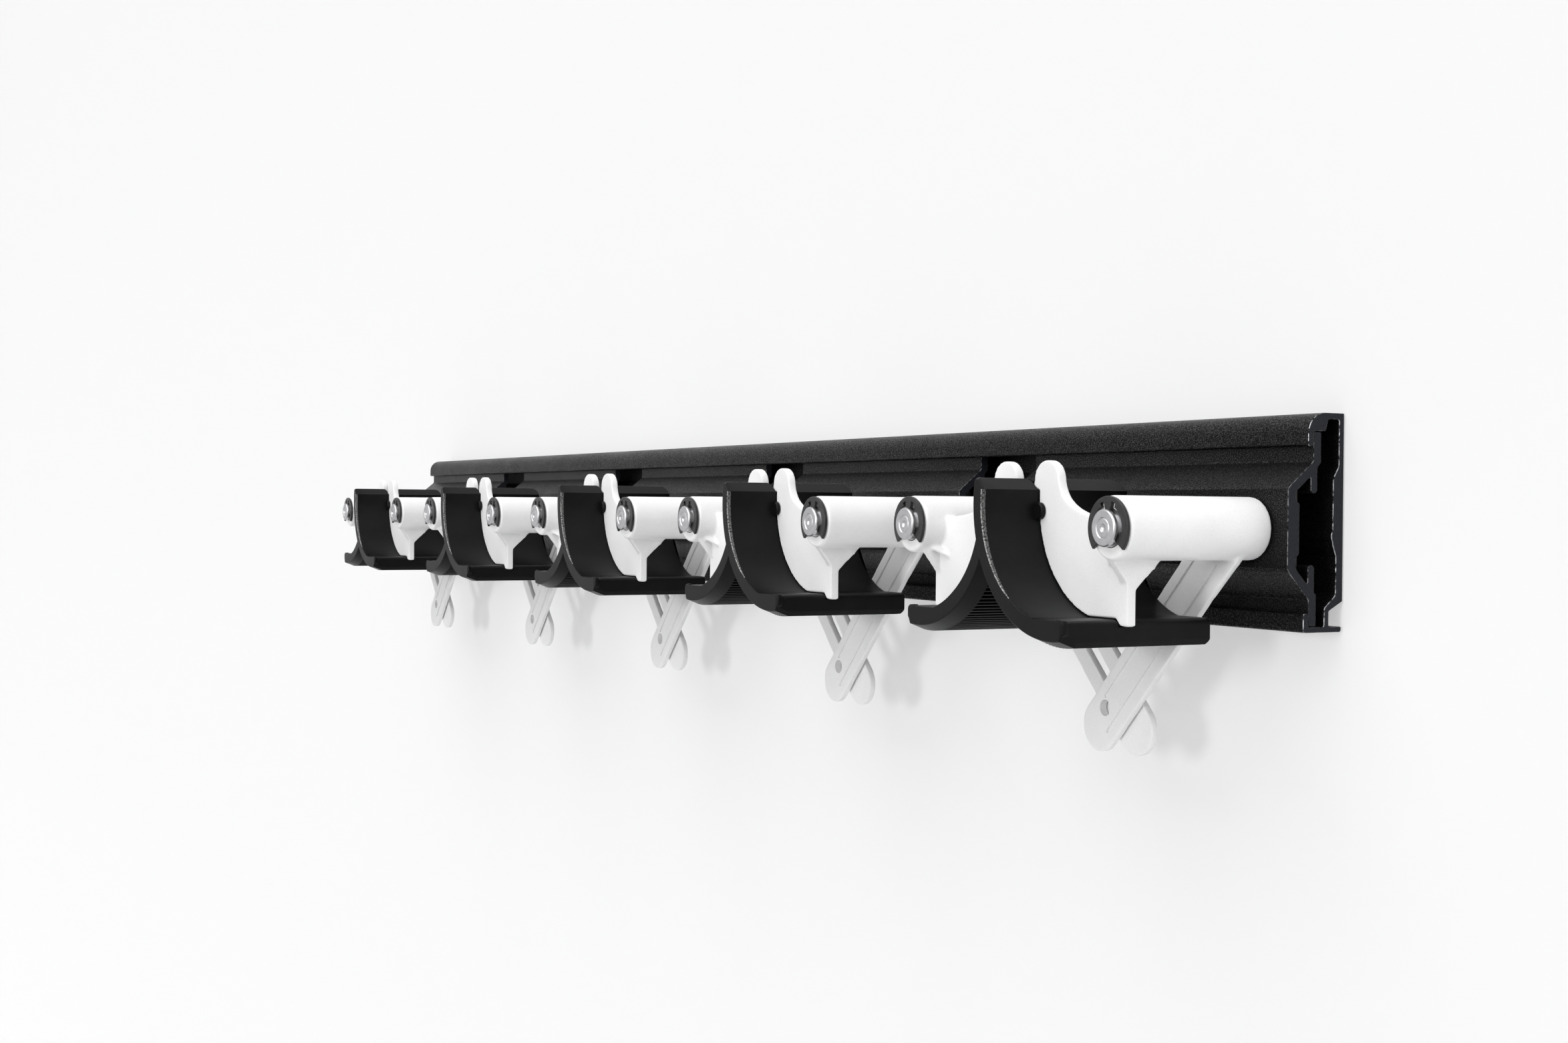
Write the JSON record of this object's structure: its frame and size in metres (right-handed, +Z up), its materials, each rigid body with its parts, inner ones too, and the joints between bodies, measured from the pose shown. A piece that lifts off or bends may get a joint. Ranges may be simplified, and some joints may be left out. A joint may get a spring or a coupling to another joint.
{
  "type": "ski wall rack",
  "caption": "Wall rail with a row of carriers, each with two pivoting cam jaws on pins that close on a pair of skis and open as the skis are lifted.",
  "frame": {"origin": "on the wall face of the rail, at the middle of its length and at the height of the pivot pins", "axes": "+X along the rail to the right, +Y into the wall, +Z up; the jaws stand out towards -Y"},
  "size_m": [0.9758, 0.1003, 0.1254],
  "materials": {
    "black_powder_coat": "black textured powder coat on an extrusion",
    "plated_steel": "zinc plated",
    "bright_steel": "turned",
    "black_spring_steel": "blackened spring steel",
    "white_casting": "white satin coat on a casting",
    "black_shoe": "fine-grained moulded black, bright where the rim is worn"
  },
  "bodies": {
    "rack_frame": {"wall_rail": "black_powder_coat", "carrier_1": "black_powder_coat", "pin_plate_1": "plated_steel", "pivot_pin_left_1": "bright_steel", "e_clip_left_1": "black_spring_steel", "pivot_pin_right_1": "bright_steel", "e_clip_right_1": "black_spring_steel", "carrier_2": "black_powder_coat", "pin_plate_2": "plated_steel", "pivot_pin_left_2": "bright_steel", "e_clip_left_2": "black_spring_steel", "pivot_pin_right_2": "bright_steel", "e_clip_right_2": "black_spring_steel", "carrier_3": "black_powder_coat", "pin_plate_3": "plated_steel", "pivot_pin_left_3": "bright_steel", "e_clip_left_3": "black_spring_steel", "pivot_pin_right_3": "bright_steel", "e_clip_right_3": "black_spring_steel", "carrier_4": "black_powder_coat", "pin_plate_4": "plated_steel", "pivot_pin_left_4": "bright_steel", "e_clip_left_4": "black_spring_steel", "pivot_pin_right_4": "bright_steel", "e_clip_right_4": "black_spring_steel", "carrier_5": "black_powder_coat", "pin_plate_5": "plated_steel", "pivot_pin_left_5": "bright_steel", "e_clip_left_5": "black_spring_steel", "pivot_pin_right_5": "bright_steel", "e_clip_right_5": "black_spring_steel"},
    "jaw_left_1": {"arm_left_1": "white_casting", "shoe_left_1": "black_shoe"},
    "jaw_right_1": {"arm_right_1": "white_casting", "shoe_right_1": "black_shoe"},
    "jaw_left_2": {"arm_left_2": "white_casting", "shoe_left_2": "black_shoe"},
    "jaw_right_2": {"arm_right_2": "white_casting", "shoe_right_2": "black_shoe"},
    "jaw_left_3": {"arm_left_3": "white_casting", "shoe_left_3": "black_shoe"},
    "jaw_right_3": {"arm_right_3": "white_casting", "shoe_right_3": "black_shoe"},
    "jaw_left_4": {"arm_left_4": "white_casting", "shoe_left_4": "black_shoe"},
    "jaw_right_4": {"arm_right_4": "white_casting", "shoe_right_4": "black_shoe"},
    "jaw_left_5": {"arm_left_5": "white_casting", "shoe_left_5": "black_shoe"},
    "jaw_right_5": {"arm_right_5": "white_casting", "shoe_right_5": "black_shoe"}
  },
  "joints": [
    {"name": "jaw_left_1_pivot", "type": "hinge", "parent": "rack_frame", "child": "jaw_left_1", "pos_m": [-0.4694, 0, 0], "axis": [0, -1, 0], "range_deg": [0, 45]},
    {"name": "jaw_right_1_pivot", "type": "hinge", "parent": "rack_frame", "child": "jaw_right_1", "pos_m": [-0.3434, 0, 0], "axis": [0, 1, 0], "range_deg": [0, 45]},
    {"name": "jaw_left_2_pivot", "type": "hinge", "parent": "rack_frame", "child": "jaw_left_2", "pos_m": [-0.2662, 0, 0], "axis": [0, -1, 0], "range_deg": [0, 45]},
    {"name": "jaw_right_2_pivot", "type": "hinge", "parent": "rack_frame", "child": "jaw_right_2", "pos_m": [-0.1402, 0, 0], "axis": [0, 1, 0], "range_deg": [0, 45]},
    {"name": "jaw_left_3_pivot", "type": "hinge", "parent": "rack_frame", "child": "jaw_left_3", "pos_m": [-0.063, 0, 0], "axis": [0, -1, 0], "range_deg": [0, 45]},
    {"name": "jaw_right_3_pivot", "type": "hinge", "parent": "rack_frame", "child": "jaw_right_3", "pos_m": [0.063, 0, 0], "axis": [0, 1, 0], "range_deg": [0, 45]},
    {"name": "jaw_left_4_pivot", "type": "hinge", "parent": "rack_frame", "child": "jaw_left_4", "pos_m": [0.1402, 0, 0], "axis": [0, -1, 0], "range_deg": [0, 45]},
    {"name": "jaw_right_4_pivot", "type": "hinge", "parent": "rack_frame", "child": "jaw_right_4", "pos_m": [0.2662, 0, 0], "axis": [0, 1, 0], "range_deg": [0, 45]},
    {"name": "jaw_left_5_pivot", "type": "hinge", "parent": "rack_frame", "child": "jaw_left_5", "pos_m": [0.3434, 0, 0], "axis": [0, -1, 0], "range_deg": [0, 45]},
    {"name": "jaw_right_5_pivot", "type": "hinge", "parent": "rack_frame", "child": "jaw_right_5", "pos_m": [0.4694, 0, 0], "axis": [0, 1, 0], "range_deg": [0, 45]}
  ]
}
